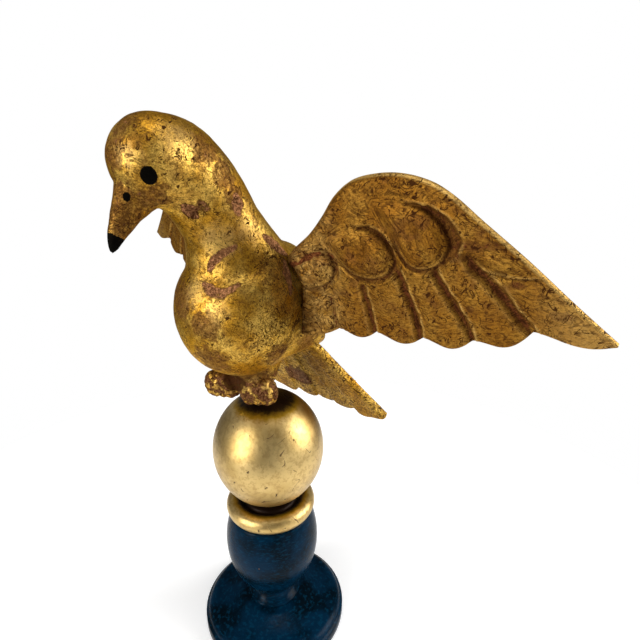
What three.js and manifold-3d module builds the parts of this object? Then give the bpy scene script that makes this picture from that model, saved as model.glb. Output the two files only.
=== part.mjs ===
// A carved and gilded dove with open wings, perched on a gilded ball over a blue turned baluster.
// Millimetres, Z up. The dove faces -Y, its left wing points to +X, and the turned stem's axis is Z.
// The origin is at the centre of the base's underside.

import * as THREE from 'three';
import { mergeVertices } from 'three/addons/utils/BufferGeometryUtils.js';
import Module from 'manifold-3d';

const wasm = await Module();
wasm.setup();

// Driving dimensions of the turned stem
const ballRadius = 30;
const ballHalfHeight = 32.5;
const ballCentre = 118;        // height above the base's underside
const collarRadius = 24.9;     // to the outside of the ring
const collarTube = 4.8;
const collarDrop = 36;         // ring's middle below the ball's centre
const coveRadius = 13.5;       // the narrow neck between ball and ring
const bulbRadius = 26.4;
const bulbHalfHeight = 37.2;
const bulbDrop = 60;           // bulb's widest place below the ball's centre
const bulbNeck = 11;
const baseRadius = 42;
const baseHeight = 16;
const joint = 0.3;             // gap between pieces that touch
const stemSides = 24;

// Driving dimensions of the dove, forward of the stem's axis and above the ball's centre
const breast = { forward: 10, up: 82.5 };
const bodySlope = THREE.MathUtils.degToRad(31);
const headCentre = { forward: 48, up: 149.6, radius: 17.5 };
const beakTip = { forward: 68.4, up: 118.8, radius: 1.7 };
const shoulders = { forward: -8, up: 94.5, halfWidth: 27, halfDepth: 16, halfHeight: 18 };

// Driving dimensions of the tail
const tailRoot = { forward: -20.4, up: 57.9 };
const tailFall = THREE.MathUtils.degToRad(59.3);
const tailTwist = THREE.MathUtils.degToRad(5);
const tailFeathers = 5;
const tailSpread = THREE.MathUtils.degToRad(10.4);   // angle from one feather to the next
const tailApex = 37;           // from the fan's centre to the root
const tailLength = 60;
const tailThickness = 4.4;
const tailStep = 0.9;
const tailHollow = 5;          // how much shorter the middle feather is than the outer ones

// Driving dimensions of a wing
const wingSweep = THREE.MathUtils.degToRad(10);
const wingLean = THREE.MathUtils.degToRad(5);
const wingOffset = -4.6;       // carved face, forward of the stem's axis
const wingRootThickness = 8;
const wingTipThickness = 2.8;
const wingSpan = 148.7;

function paint(color, roughness, metalness) {
  return new THREE.MeshStandardMaterial({ color, roughness, metalness });
}
const agedGilding = paint(0x9a6f24, 0.45, 0.8);
const wingGilding = paint(0x8c6326, 0.55, 0.7);
const brightLeaf = paint(0xc9a24a, 0.3, 0.95);
const bluePaint = paint(0x10243d, 0.35, 0.1);

// A direction given from the dove: forward, to its left, and up
const heading = (forward, left, up) => new THREE.Vector3(left, -forward, up);
// A place given the same way, measured from the ball's centre
const place = (forward, left, up) => heading(forward, left, ballCentre + up);

function solidOf(geometry) {
  const bare = geometry.clone();
  bare.deleteAttribute('normal');
  bare.deleteAttribute('uv');
  const merged = mergeVertices(bare, 1e-4);
  const mesh = new wasm.Mesh({
    numProp: 3,
    vertProperties: new Float32Array(merged.attributes.position.array),
    triVerts: new Uint32Array(merged.index.array),
  });
  return new wasm.Manifold(mesh);
}

function meshOf(name, solid, material) {
  const { vertProperties, triVerts } = solid.getMesh();
  const geometry = new THREE.BufferGeometry();
  geometry.setAttribute('position', new THREE.BufferAttribute(new Float32Array(vertProperties), 3));
  geometry.setIndex(new THREE.BufferAttribute(new Uint32Array(triVerts), 1));
  geometry.computeVertexNormals();
  const mesh = new THREE.Mesh(geometry, material);
  mesh.name = name;
  return mesh;
}

// A closed skin over a row of rings with equal point counts, capped by a fan at each end
function skin(rings) {
  const sides = rings[0].length;
  const points = rings.flat();
  const faces = [];
  for (let r = 0; r + 1 < rings.length; r++) {
    for (let s = 0; s < sides; s++) {
      const a = r * sides + s;
      const b = r * sides + (s + 1) % sides;
      faces.push(a, b, b + sides, a, b + sides, a + sides);
    }
  }
  for (const [ring, flip] of [[0, true], [rings.length - 1, false]]) {
    const hub = points.length;
    const middle = new THREE.Vector3();
    rings[ring].forEach((p) => middle.addScaledVector(p, 1 / sides));
    points.push(middle);
    for (let s = 0; s < sides; s++) {
      const a = ring * sides + s;
      const b = ring * sides + (s + 1) % sides;
      if (flip) faces.push(hub, b, a);
      else faces.push(hub, a, b);
    }
  }
  const geometry = new THREE.BufferGeometry().setFromPoints(points);
  geometry.setIndex(faces);
  return geometry;
}

// A limb with its spine in the dove's middle plane. Each station is forward, up, half height, half width.
function limb(stations, ringCount, sides, extra) {
  const spine = new THREE.CatmullRomCurve3(stations.map(([f, u]) => place(f, 0, u)), false, 'centripetal');
  const sizes = new THREE.CatmullRomCurve3(
    stations.map(([, , high, wide]) => new THREE.Vector3(high, wide, 0)), false, 'centripetal');
  const rings = [];
  for (let r = 0; r <= ringCount; r++) {
    const t = r / ringCount;
    const centre = spine.getPoint(t);
    const along = spine.getTangent(t);
    const across = new THREE.Vector3(1, 0, 0);
    const over = new THREE.Vector3().crossVectors(along, across).normalize();
    const size = sizes.getPoint(t);
    rings.push(Array.from({ length: sides }, (_, s) => {
      const angle = 2 * Math.PI * s / sides;
      return centre.clone()
        .addScaledVector(across, (size.y + extra) * Math.cos(angle))
        .addScaledVector(over, (size.x + extra) * Math.sin(angle));
    }));
  }
  return rings;
}

function ellipsoid(centre, radii, turn, around, up) {
  const geometry = new THREE.SphereGeometry(1, around, up);
  geometry.scale(radii.x, radii.y, radii.z);
  geometry.rotateX(turn);
  geometry.translate(centre.x, centre.y, centre.z);
  return solidOf(geometry);
}

// Body: an egg on a sloping straight axis, from the tail's root to the breast.
// Each station is a distance from the breast's centre, a lift off the axis, half height, half width.
function body(extra) {
  const profile = [
    [-51, 0, 1, 6], [-48, 0, 5, 13], [-41, 0.5, 10, 17], [-32, 1.5, 18, 21], [-20, 2.5, 26.5, 24.5],
    [-9, 2, 32, 27], [1, 0, 33.4, 29.5], [12, 0, 31.5, 29.5], [20, 0, 27, 26], [27, 0, 19.5, 19.5],
    [31.5, 0, 11, 11], [33.2, 0, 5, 5], [33.6, 0, 0.6, 0.6],
  ];
  const [run, climb] = [Math.cos(bodySlope), Math.sin(bodySlope)];
  const stations = profile.map(([along, lift, high, wide]) => [
    breast.forward + along * run - lift * climb, breast.up + along * climb + lift * run, high, wide]);
  return solidOf(skin(limb(stations, 20, 22, extra)));
}

// Neck and head in one sweep, closed by the rounded forehead
function neckAndHead(extra) {
  const headSlope = THREE.MathUtils.degToRad(22);
  const forehead = [7, 12.5, 16, 17.3].map((ahead) => {
    const size = Math.max(Math.sqrt(headCentre.radius ** 2 - ahead ** 2), 0.5);
    const [forward, up] = [ahead * Math.cos(headSlope), ahead * Math.sin(headSlope)];
    return [headCentre.forward + forward, headCentre.up + up, size, 0.96 * size];
  });
  const stations = [
    [10, 82, 29, 26.5], [11.5, 95, 28.6, 26], [15.2, 108.6, 22.8, 21], [21.6, 124.9, 17.2, 16],
    [31.6, 140.4, 17.2, 15.8], [40.4, 147.6, 17.7, 16.4],
    [headCentre.forward, headCentre.up, headCentre.radius, 0.96 * headCentre.radius], ...forehead,
  ];
  return solidOf(skin(limb(stations, 22, 22, extra)));
}

// Face and down-turned beak
function beak() {
  const stations = [
    [50, 146, 14, 11], [54.5, 140.5, 11, 8.6], [58.5, 135.3, 7.8, 6.2], [61.6, 131, 5.9, 4.8],
    [64.4, 126.6, 4.5, 3.9], [66.8, 122.4, 3.1, 2.8],
    [beakTip.forward, beakTip.up, beakTip.radius, beakTip.radius], [69, 117.2, 0.4, 0.4],
  ];
  return solidOf(skin(limb(stations, 10, 12, 0)));
}

function shoulderMass(extra) {
  const centre = place(shoulders.forward, 0, shoulders.up);
  const { halfWidth, halfDepth, halfHeight } = shoulders;
  const radii = new THREE.Vector3(halfWidth, halfDepth, halfHeight).addScalar(extra);
  return ellipsoid(centre, radii, 0, 16, 8);
}

// Tail: feathers that fan out from one centre, the middle one on top, with slanting round ends
function tail() {
  const fan = [];
  const reach = tailApex + tailLength;
  const inner = tailApex - 6;
  const half = 0.56 * tailSpread;
  const corner = (angle, radius) => new THREE.Vector2(radius * Math.sin(angle), radius * Math.cos(angle));
  // Across the feather from edge to edge, and how far short of the full reach
  const roundEnd = [[-1, -3.6], [-0.75, -1.2], [-0.3, 0], [0.3, 0], [0.75, -1.2], [1, -3.6]];
  for (let k = 0; k < tailFeathers; k++) {
    const side = k - (tailFeathers - 1) / 2;
    const middle = side * tailSpread;
    const lean = 1.2 * Math.sign(side);
    const short = tailHollow * (1 - (2 * side / (tailFeathers - 1)) ** 2);
    const outline = [corner(middle + half, inner), corner(middle - half, inner)];
    for (const [across, drop] of roundEnd) {
      outline.push(corner(middle + across * half, reach + drop - short - lean * across));
    }
    const shape = new THREE.Shape(outline);
    const slab = new THREE.ExtrudeGeometry(shape, { depth: tailThickness, bevelEnabled: false });
    slab.translate(0, -tailApex, -tailThickness / 2 - tailStep * Math.abs(side));
    fan.push(slab);
  }
  // The fan lies in its own X and Y, with Z towards the tail's upper face
  const across = new THREE.Vector3(1, 0, 0);
  const along = new THREE.Vector3(0, Math.cos(tailFall), -Math.sin(tailFall));
  const over = new THREE.Vector3().crossVectors(across, along);
  const frame = new THREE.Matrix4().makeBasis(across, along, over);
  frame.multiply(new THREE.Matrix4().makeRotationY(-tailTwist));
  frame.premultiply(new THREE.Matrix4().makeTranslation(place(tailRoot.forward, 0, tailRoot.up)));
  return fan.map((slab) => solidOf(slab.applyMatrix4(frame))).reduce((all, one) => all.add(one));
}

// Feet: two short toes on each, curled over the ball, under the low belly that hides the legs
function feet() {
  const toeSize = new THREE.Vector3(4.8, 5.6, 7.8);
  const toes = [[8.5, 11.5, 41], [12.5, 3, 39.6], [17.3, -7, 41.4], [21.5, -13.4, 41.4]];
  const lumps = toes.map(([forward, left, up]) => ellipsoid(place(forward, left, up), toeSize, 0.3, 9, 7));
  const lowBelly = ellipsoid(place(5, -1, 52), new THREE.Vector3(12, 13, 19), -0.3, 16, 8);
  return lumps.reduce((all, one) => all.add(one), lowBelly);
}

function turned(profile, sides) {
  const points = profile.map(([radius, height]) => new THREE.Vector2(radius, height));
  return solidOf(new THREE.LatheGeometry(points, sides).rotateX(Math.PI / 2));
}

// The ball's outline from its top to the cove, made fuller by extra where it is used to cut
function ballProfile(extra, steps) {
  const profile = [];
  const lowest = Math.asin(coveRadius / ballRadius);
  for (let i = 0; i <= steps; i++) {
    const angle = (Math.PI - lowest) * i / steps;
    profile.push([
      (ballRadius + extra) * Math.sin(angle),
      ballCentre + (ballHalfHeight + extra) * Math.cos(angle)]);
  }
  profile[0][0] = 0;
  return profile;
}

function dove() {
  const carved = body(0).add(neckAndHead(0)).add(beak()).add(shoulderMass(0)).add(tail()).add(feet());
  const room = ballProfile(joint, 14);
  room.push([0, ballCentre - ballHalfHeight]);
  return carved.subtract(turned(room.reverse(), stemSides));
}

function ballAndCollar() {
  const profile = ballProfile(0, 14);
  const tubeRadius = collarRadius - collarTube;
  const steps = 9;
  // The ring's section, from its inner side over the top and round to its underside
  for (let i = 0; i <= steps; i++) {
    const angle = Math.PI - 1.5 * Math.PI * i / steps;
    profile.push([
      tubeRadius + collarTube * Math.cos(angle),
      ballCentre - collarDrop + collarTube * Math.sin(angle)]);
  }
  profile.push([0, ballCentre - collarDrop - collarTube]);
  return turned(profile.reverse(), stemSides);
}

function baluster() {
  const top = ballCentre - collarDrop - collarTube - joint;
  const middle = ballCentre - bulbDrop;
  const profile = [[0, top]];
  const first = Math.acos((top - middle) / bulbHalfHeight);
  const last = Math.PI - Math.asin(bulbNeck / bulbRadius);
  const steps = 8;
  for (let i = 0; i <= steps; i++) {
    const angle = first + (last - first) * i / steps;
    profile.push([bulbRadius * Math.sin(angle), middle + bulbHalfHeight * Math.cos(angle)]);
  }
  const neck = profile.at(-1)[1];
  const seat = baseHeight + joint;
  profile.push([bulbNeck + 1, (neck + seat) / 2 - 1]);
  profile.push([bulbNeck + 4, seat + 1], [bulbNeck + 4.6, seat], [0, seat]);
  return turned(profile.reverse(), stemSides);
}

function base() {
  const profile = [[0, 0], [baseRadius - 0.8, 0], [baseRadius, 0.8], [baseRadius, 6.5]];
  const steps = 3;
  for (let i = 1; i <= steps; i++) {
    const angle = Math.PI / 2 * i / steps;
    profile.push([baseRadius - 1.5 - 7 * (1 - Math.cos(angle)), 7 + 4.5 * Math.sin(angle)]);
  }
  profile.push([baseRadius - 16, 13.2], [baseRadius - 22, 15]);
  profile.push([baseRadius - 23, baseHeight], [0, baseHeight]);
  return turned(profile, stemSides);
}

// Wing outline in the wing's own plane: outwards from the stem's axis, and above the ball's centre
const leadingEdge = [
  [14, 103], [22, 111.8], [31, 119.4], [37.9, 127.3], [44.5, 136.1], [52.5, 142.2], [63, 145], [74.1, 145.4],
  [85.5, 142.8], [93.5, 138.5], [103.2, 131.3], [119.6, 119.4], [135, 107.3], [wingSpan, 97],
];
// Where each feather's groove starts at the leading edge and ends in a notch, and how far the feather's
// round end hangs below the line between its two notches
const featherLines = [
  { start: 14, notch: [14, 69.5], hang: 0 },
  { start: 38, notch: [45.4, 78.8], hang: 2.4 },
  { start: 50, notch: [63.7, 81.3], hang: 3 },
  { start: 60, notch: [84.4, 83.5], hang: 3.4 },
  { start: 66, notch: [103.7, 87], hang: 3.6 },
  { start: 77, notch: [124, 95.4], hang: 4.4 },
  { start: wingSpan, notch: [wingSpan, 96], hang: 2.2 },
];
// Depth and half width of the groove on each inner feather line, and where it starts below the coverts
const grooves = [
  null,
  { depth: 0.5, half: 0.07, from: 0.62 },
  { depth: 1.0, half: 0.09, from: 0.55 },
  { depth: 1.3, half: 0.1, from: 0.5 },
  { depth: 1.5, half: 0.1, from: 0.45 },
  { depth: 2.0, half: 0.09, from: 0.28 },
];
// Coverts: rounded lobes, each with its middle, half length, half width, slope and height
const coverts = [
  { out: 33, up: 105, long: 12.5, wide: 8.3, slope: -12, rise: 1.7 },
  { out: 57, up: 114.3, long: 16, wide: 9, slope: -26, rise: 2 },
  { out: 80, up: 124.6, long: 16, wide: 9.3, slope: -50, rise: 2.1 },
  { out: 110.5, up: 118.8, long: 9.5, wide: 3.6, slope: -22, rise: 1.1 },
];

const leadingCurve = new THREE.SplineCurve(leadingEdge.map(([out, up]) => new THREE.Vector2(out, up)));
const leadingPoints = leadingCurve.getPoints(200);

function leadingUp(out) {
  const next = Math.max(1, leadingPoints.findIndex((p, i) => i > 0 && p.x >= out));
  const [a, b] = [leadingPoints[next - 1], leadingPoints[next]];
  return THREE.MathUtils.mapLinear(out, a.x, b.x, a.y, b.y);
}

// Both ends of the feather line at a whole or broken feather number
function featherLine(number) {
  const i = Math.min(Math.floor(number), featherLines.length - 2);
  const t = number - i;
  const [a, b] = [featherLines[i], featherLines[i + 1]];
  const start = THREE.MathUtils.lerp(a.start, b.start, t);
  const hang = b.hang * Math.sin(Math.PI * t ** 1.5);
  const end = [0, 1].map((axis) => THREE.MathUtils.lerp(a.notch[axis], b.notch[axis], t));
  return { top: [start, leadingUp(start)], end: [end[0], end[1] - hang] };
}

// How deep the feathers' carving lies below the wing's face, at a feather number and a share of the way down
function carvedDepth(number, down) {
  const nearest = Math.round(number);
  const groove = grooves[nearest];
  const across = Math.sin(Math.PI * (number - Math.floor(number)));
  const crown = 0.7 * (1 - across) * THREE.MathUtils.smoothstep(down, 0.4, 0.7);
  if (!groove) return 0.3 * crown;
  const fade = THREE.MathUtils.smoothstep(down, groove.from - 0.08, groove.from + 0.08);
  const cut = Math.max(0, 1 - Math.abs(number - nearest) / groove.half);
  return 0.6 * crown + fade * groove.depth * cut;
}

function wingThickness(out) {
  return THREE.MathUtils.mapLinear(out, 14, wingSpan, wingRootThickness, wingTipThickness);
}

// A point in the wing's frame put in place: side is 1 for the left wing and -1 for the right
function wingPoint(out, up, ahead, side) {
  const along = heading(-Math.sin(wingSweep), Math.cos(wingSweep), 0);
  const level = heading(Math.cos(wingSweep), Math.sin(wingSweep), 0);
  const forward = level.multiplyScalar(Math.cos(wingLean)).add(heading(0, 0, -Math.sin(wingLean)));
  const upward = new THREE.Vector3().crossVectors(forward, along);
  const point = place(0, 0, 0)
    .addScaledVector(along, out)
    .addScaledVector(upward, up)
    .addScaledVector(forward, wingOffset + ahead);
  point.x *= side;
  return point;
}

function featherNumbers() {
  const numbers = [0, 0.35, 0.7];
  for (let i = 1; i < featherLines.length - 1; i++) {
    const half = grooves[i].half;
    const tipFeather = i === featherLines.length - 2;
    const inner = tipFeather ? [0.22, 0.38, 0.54, 0.68, 0.8, 0.9, 0.97] : [0.3, 0.52, 0.75];
    numbers.push(i - half, i, i + half, ...inner.map((t) => i + t));
  }
  return [...numbers, featherLines.length - 1];
}

function wingBoard(side) {
  const numbers = featherNumbers();
  const rows = [0, 0.14, 0.32, 0.5, 0.66, 0.84, 1];
  const rings = numbers.map((number) => {
    const { top, end } = featherLine(number);
    const front = [];
    const back = [];
    for (const down of rows) {
      const out = THREE.MathUtils.lerp(top[0], end[0], down);
      const up = THREE.MathUtils.lerp(top[1], end[1], down);
      const thick = wingThickness(out) * (1 - 0.4 * down);
      const bevel = down === 0 ? 0.2 * thick : 0;
      const depth = carvedDepth(number, down);
      front.push(wingPoint(out, up, -depth - bevel, side));
      back.push(wingPoint(out, up, -thick - 0.3 * depth * down + bevel, side));
    }
    const ring = [...front, ...back.reverse()];
    return side > 0 ? ring : ring.reverse();
  });
  return solidOf(skin(rings));
}

// One covert as a low dome, or the hollow cut round it when its rise is negative
function lobe(covert, grow, lift, shift, side) {
  const around = 14;
  const slope = THREE.MathUtils.degToRad(covert.slope);
  const dome = [[1, -3], [1, 0.25 * lift], [0.88, 0.65 * lift], [0.5, 0.95 * lift]];
  const levels = lift > 0 ? dome : [[0.7, lift], [1, 6]];
  const rings = levels.map(([size, ahead]) => Array.from({ length: around }, (_, s) => {
    const angle = 2 * Math.PI * s / around;
    const x = (covert.long + grow) * size * Math.cos(angle);
    const y = (covert.wide + grow) * size * Math.sin(angle);
    const out = covert.out + shift + x * Math.cos(slope) - y * Math.sin(slope);
    const up = covert.up - shift + x * Math.sin(slope) + y * Math.cos(slope);
    return wingPoint(out, up, ahead, side);
  }));
  return solidOf(skin(side > 0 ? rings : rings.map((ring) => ring.reverse())));
}

function wing(side) {
  let board = wingBoard(side);
  for (const covert of coverts) board = board.subtract(lobe(covert, 1.7, -1.4, 1.9, side));
  for (const covert of coverts) board = board.add(lobe(covert, 0, covert.rise, 0, side));
  return board.subtract(body(joint)).subtract(neckAndHead(joint)).subtract(shoulderMass(joint));
}

const group = new THREE.Group();
group.add(meshOf('dove', dove(), agedGilding));
group.add(meshOf('left_wing', wing(1), wingGilding));
group.add(meshOf('right_wing', wing(-1), wingGilding));
group.add(meshOf('gilded_ball_and_collar', ballAndCollar(), brightLeaf));
group.add(meshOf('blue_baluster', baluster(), bluePaint));
group.add(meshOf('round_base', base(), bluePaint));

export default group;
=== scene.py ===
# A carved and gilded dove with open wings, on a gilded ball and collar over a blue baluster.
# Metres, Z up. The dove faces -Y, its left wing points to +X, and the turned stem's axis is Z.
import math

import bmesh
import bpy
import numpy as np
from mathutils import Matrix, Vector
from mathutils.bvhtree import BVHTree
from mathutils.noise import fractal


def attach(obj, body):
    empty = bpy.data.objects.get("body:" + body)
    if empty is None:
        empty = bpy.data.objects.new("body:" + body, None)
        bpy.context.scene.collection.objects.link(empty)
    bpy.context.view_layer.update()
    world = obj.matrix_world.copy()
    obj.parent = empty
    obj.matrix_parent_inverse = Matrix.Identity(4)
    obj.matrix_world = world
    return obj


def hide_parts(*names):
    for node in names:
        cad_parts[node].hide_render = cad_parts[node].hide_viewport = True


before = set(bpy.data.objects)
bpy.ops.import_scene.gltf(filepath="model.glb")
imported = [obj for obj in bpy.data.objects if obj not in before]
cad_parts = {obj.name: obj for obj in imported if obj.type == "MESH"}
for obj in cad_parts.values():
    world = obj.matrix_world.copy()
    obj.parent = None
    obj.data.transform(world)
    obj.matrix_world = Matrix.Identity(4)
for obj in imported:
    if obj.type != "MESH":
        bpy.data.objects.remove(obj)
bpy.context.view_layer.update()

# The camera looks at the dove's left side from in front and a little above.
camera_data = bpy.data.cameras.new("camera")
camera_data.sensor_width = 36
camera_data.lens = 27.06
camera = bpy.data.objects.new("camera", camera_data)
camera.location = (0.17845, -0.13865, 0.27286)
camera.rotation_euler = (math.radians(70), 0, math.radians(45))
bpy.context.scene.collection.objects.link(camera)
bpy.context.scene.camera = camera

# The stage is a plain pale floor under wide soft lamps in a light room.
floor_radius = 0.32
floor_sides = 96
floor_mesh = bpy.data.meshes.new("floor")
floor_mesh.from_pydata([
    (floor_radius * math.cos(2 * math.pi * side / floor_sides),
     floor_radius * math.sin(2 * math.pi * side / floor_sides), 0) for side in range(floor_sides)],
    [], [tuple(range(floor_sides))])
floor = bpy.data.objects.new("floor", floor_mesh)
bpy.context.scene.collection.objects.link(floor)
floor_white = bpy.data.materials.new("floor_white")
floor_white.use_nodes = True
floor_shader = floor_white.node_tree.nodes["Principled BSDF"].inputs
floor_shader["Base Color"].default_value = (0.9, 0.9, 0.9, 1)
floor_shader["Roughness"].default_value = 0.9
floor_shader["Emission Color"].default_value = (1, 1, 1, 1)
floor_shader["Emission Strength"].default_value = 0.28
floor_mesh.materials.append(floor_white)

lamp_aim = Vector((0, 0, 0.18))


def soft_lamp(name, spot, width, height, watts):
    """A flat soft lamp of a given width and height that faces the dove's belly."""
    data = bpy.data.lights.new(name, "AREA")
    data.shape = "RECTANGLE"
    data.size = width
    data.size_y = height
    data.energy = watts
    lamp = bpy.data.objects.new(name, data)
    lamp.location = spot
    lamp.rotation_euler = (Vector(spot) - lamp_aim).to_track_quat("Z", "Y").to_euler()
    bpy.context.scene.collection.objects.link(lamp)


soft_lamp("window_right", (0.67, 0.66, 0.46), 0.60, 0.66, 10.5)
soft_lamp("window_left", (-0.09, -0.95, 0.42), 0.33, 0.78, 9.5)
soft_lamp("lamp_overhead", (0.15, -0.05, 1.25), 0.5, 0.5, 5)
soft_lamp("white_card_right", (0.60, -0.02, 0.09), 0.40, 0.16, 0.33)

# The room is white where the camera sees it and dimmer in what the leaf reflects.
room = bpy.data.worlds.new("room")
room.use_nodes = True
room_nodes = room.node_tree
seen = room_nodes.nodes.new("ShaderNodeLightPath")
dimmed = room_nodes.nodes.new("ShaderNodeMapRange")
dimmed.inputs["To Min"].default_value = 0.21
dimmed.inputs["To Max"].default_value = 1.0
room_nodes.links.new(seen.outputs["Is Camera Ray"], dimmed.inputs["Value"])
room_nodes.links.new(dimmed.outputs[0], room_nodes.nodes["Background"].inputs["Strength"])
room_nodes.nodes["Background"].inputs["Color"].default_value = (1, 1, 1, 1)
bpy.context.scene.world = room
bpy.context.scene.view_settings.view_transform = "Standard"


# The ball, the dark cove under it and the ring are one turning in smooth leaf over red bole.
# The lathe left it even. It has hairline cracks, small dark nicks and one knock that dulled it.
ball_radius = 0.030
ball_half_height = 0.0325
ball_height = 0.118
collar_radius = 0.0249
collar_tube = 0.0048
collar_height = ball_height - 0.036
cove_radius = 0.0135


class Tint:
    """A socket of a finish's nodes. Sums and products of it add Math nodes."""

    def __init__(self, tree, socket=None):
        self.tree = tree
        self.socket = socket

    def make(self, kind, settings=None, sockets=None, out=0):
        """Any node, from its type, its settings and the values or links of its sockets."""
        node = self.tree.nodes.new(kind)
        for setting, value in (settings or {}).items():
            setattr(node, setting, value)
        for name, value in (sockets or {}).items():
            if isinstance(value, Tint):
                self.tree.links.new(value.socket, node.inputs[name])
            else:
                node.inputs[name].default_value = value
        return Tint(self.tree, node.outputs[out] if len(node.outputs) else None)

    def maths(self, operation, *terms):
        return self.make("ShaderNodeMath", {"operation": operation}, dict(enumerate(terms)))

    def __add__(self, other):
        return self.maths("ADD", self, other)

    def __sub__(self, other):
        return self.maths("SUBTRACT", self, other)

    def __rsub__(self, other):
        return self.maths("SUBTRACT", other, self)

    def __mul__(self, other):
        return self.maths("MULTIPLY", self, other)

    __radd__ = __add__
    __rmul__ = __mul__

    def most(self, other):
        return self.maths("MAXIMUM", self, other)

    def step(self, low, high):
        """A smooth rise from 0 at low to 1 at high; low may be the larger."""
        return self.make("ShaderNodeMapRange", {"interpolation_type": "SMOOTHSTEP"},
                         {"Value": self, "From Min": low, "From Max": high})

    def lines(self, count, wide, narrow):
        """Thin lines along the levels of this value, a count of them from its 0 to its 1."""
        return self.maths("PINGPONG", self * count, 0.5).step(wide, narrow)

    def blend(self, low, high):
        """A colour from low to high as this value goes from 0 to 1."""
        return self.make("ShaderNodeMix", {"data_type": "RGBA"}, {0: self, 6: low, 7: high}, out=2)


class Finish(Tint):
    """A paint or leaf finish on one material, with the textures that its recipe asks for."""

    def __init__(self, name):
        self.material = bpy.data.materials.new(name)
        self.material.use_nodes = True
        super().__init__(self.material.node_tree)
        self.tree.nodes.clear()
        self.place = self.make("ShaderNodeTexCoord", out=3)

    def stretched(self, scale=(1, 1, 1)):
        """The place on the object in millimetres, with each axis scaled."""
        return self.make("ShaderNodeMapping", {}, {
            "Vector": self.place, "Scale": [1000 * part for part in scale]})

    def cloud(self, size, detail=4, rough=0.55, place=None, warp=0.0):
        """Soft noise with patches of a size in millimetres, from 0 to 1."""
        return self.make("ShaderNodeTexNoise", {}, {
            "Vector": place or self.stretched(), "Scale": 1 / size, "Detail": detail,
            "Roughness": rough, "Distortion": warp})

    def dots(self, spacing, place=None):
        """The distance to the nearest of many scattered dots, as a share of their spacing in millimetres."""
        return self.make("ShaderNodeTexVoronoi", {"feature": "F1"}, {
            "Vector": place or self.stretched(), "Scale": 1 / spacing})

    def mark(self, name):
        """A number that the mesh carries at each of its points."""
        return self.make("ShaderNodeAttribute", {"attribute_name": name}, out=2)

    def warped(self, shift):
        """The place on the object in millimetres, pushed about by soft noise in patches of 8 mm."""
        push = self.make("ShaderNodeTexNoise", {}, {
            "Vector": self.stretched(), "Scale": 1 / 8, "Detail": 3.0}, out=1)
        return self.make("ShaderNodeVectorMath", {"operation": "MULTIPLY_ADD"}, {
            0: push, 1: (4 * shift,) * 3, 2: self.stretched()})

    def shine(self, colour, metal, rough, relief, depth, specular, edge_tint=(1, 1, 1, 1)):
        """The finished surface: its colour, metal and roughness, and its relief over a depth in metres."""
        bump = self.make("ShaderNodeBump", {}, {"Height": relief, "Strength": 1.0, "Distance": depth})
        shader = self.make("ShaderNodeBsdfPrincipled", {}, {
            "Base Color": colour, "Metallic": metal, "Roughness": rough, "Normal": bump,
            "Specular IOR Level": specular, "Specular Tint": edge_tint})
        self.make("ShaderNodeOutputMaterial", {}, {"Surface": shader})
        return self.material


def piece(name, points, faces, finish, *nodes):
    """A smooth object over points and faces, which stands for CAD nodes."""
    mesh = bpy.data.meshes.new(name)
    mesh.from_pydata(points, [], faces)
    return dressed(name, mesh, finish, *nodes)


def dressed(name, mesh, finish, *nodes):
    """A smooth object over a mesh, which stands for CAD nodes."""
    mesh.polygons.foreach_set("use_smooth", [True] * len(mesh.polygons))
    mesh.materials.append(finish)
    thing = bpy.data.objects.new(name, mesh)
    bpy.context.scene.collection.objects.link(thing)
    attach(thing, "root")
    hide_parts(*nodes)
    return thing


def arc(middle, size, start, end, steps):
    """Part of a turned outline, as radius and height, round a middle. Its angles are from straight up."""
    angles = [start + (end - start) * step / steps for step in range(steps + 1)]
    return [(middle[0] + size[0] * math.sin(angle), middle[1] + size[1] * math.cos(angle))
            for angle in angles]


def turning(name, profile, finish, *nodes):
    """A turned piece from its outline, radius and height from the lower end to the upper end."""
    sides = 192
    inner = profile[1:-1]
    points = [(0, 0, profile[0][1])]
    for radius, height in inner:
        for side in range(sides):
            angle = 2 * math.pi * side / sides
            points.append((radius * math.cos(angle), radius * math.sin(angle), height))
    points.append((0, 0, profile[-1][1]))
    faces = []
    for side in range(sides):
        after = (side + 1) % sides
        faces.append((0, 1 + after, 1 + side))
        top = 1 + (len(inner) - 1) * sides
        faces.append((top + side, top + after, len(points) - 1))
        for ring in range(len(inner) - 1):
            low = 1 + ring * sides
            faces.append((low + side, low + after, low + sides + after, low + sides + side))
    return piece(name, points, faces, finish, *nodes)


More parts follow.
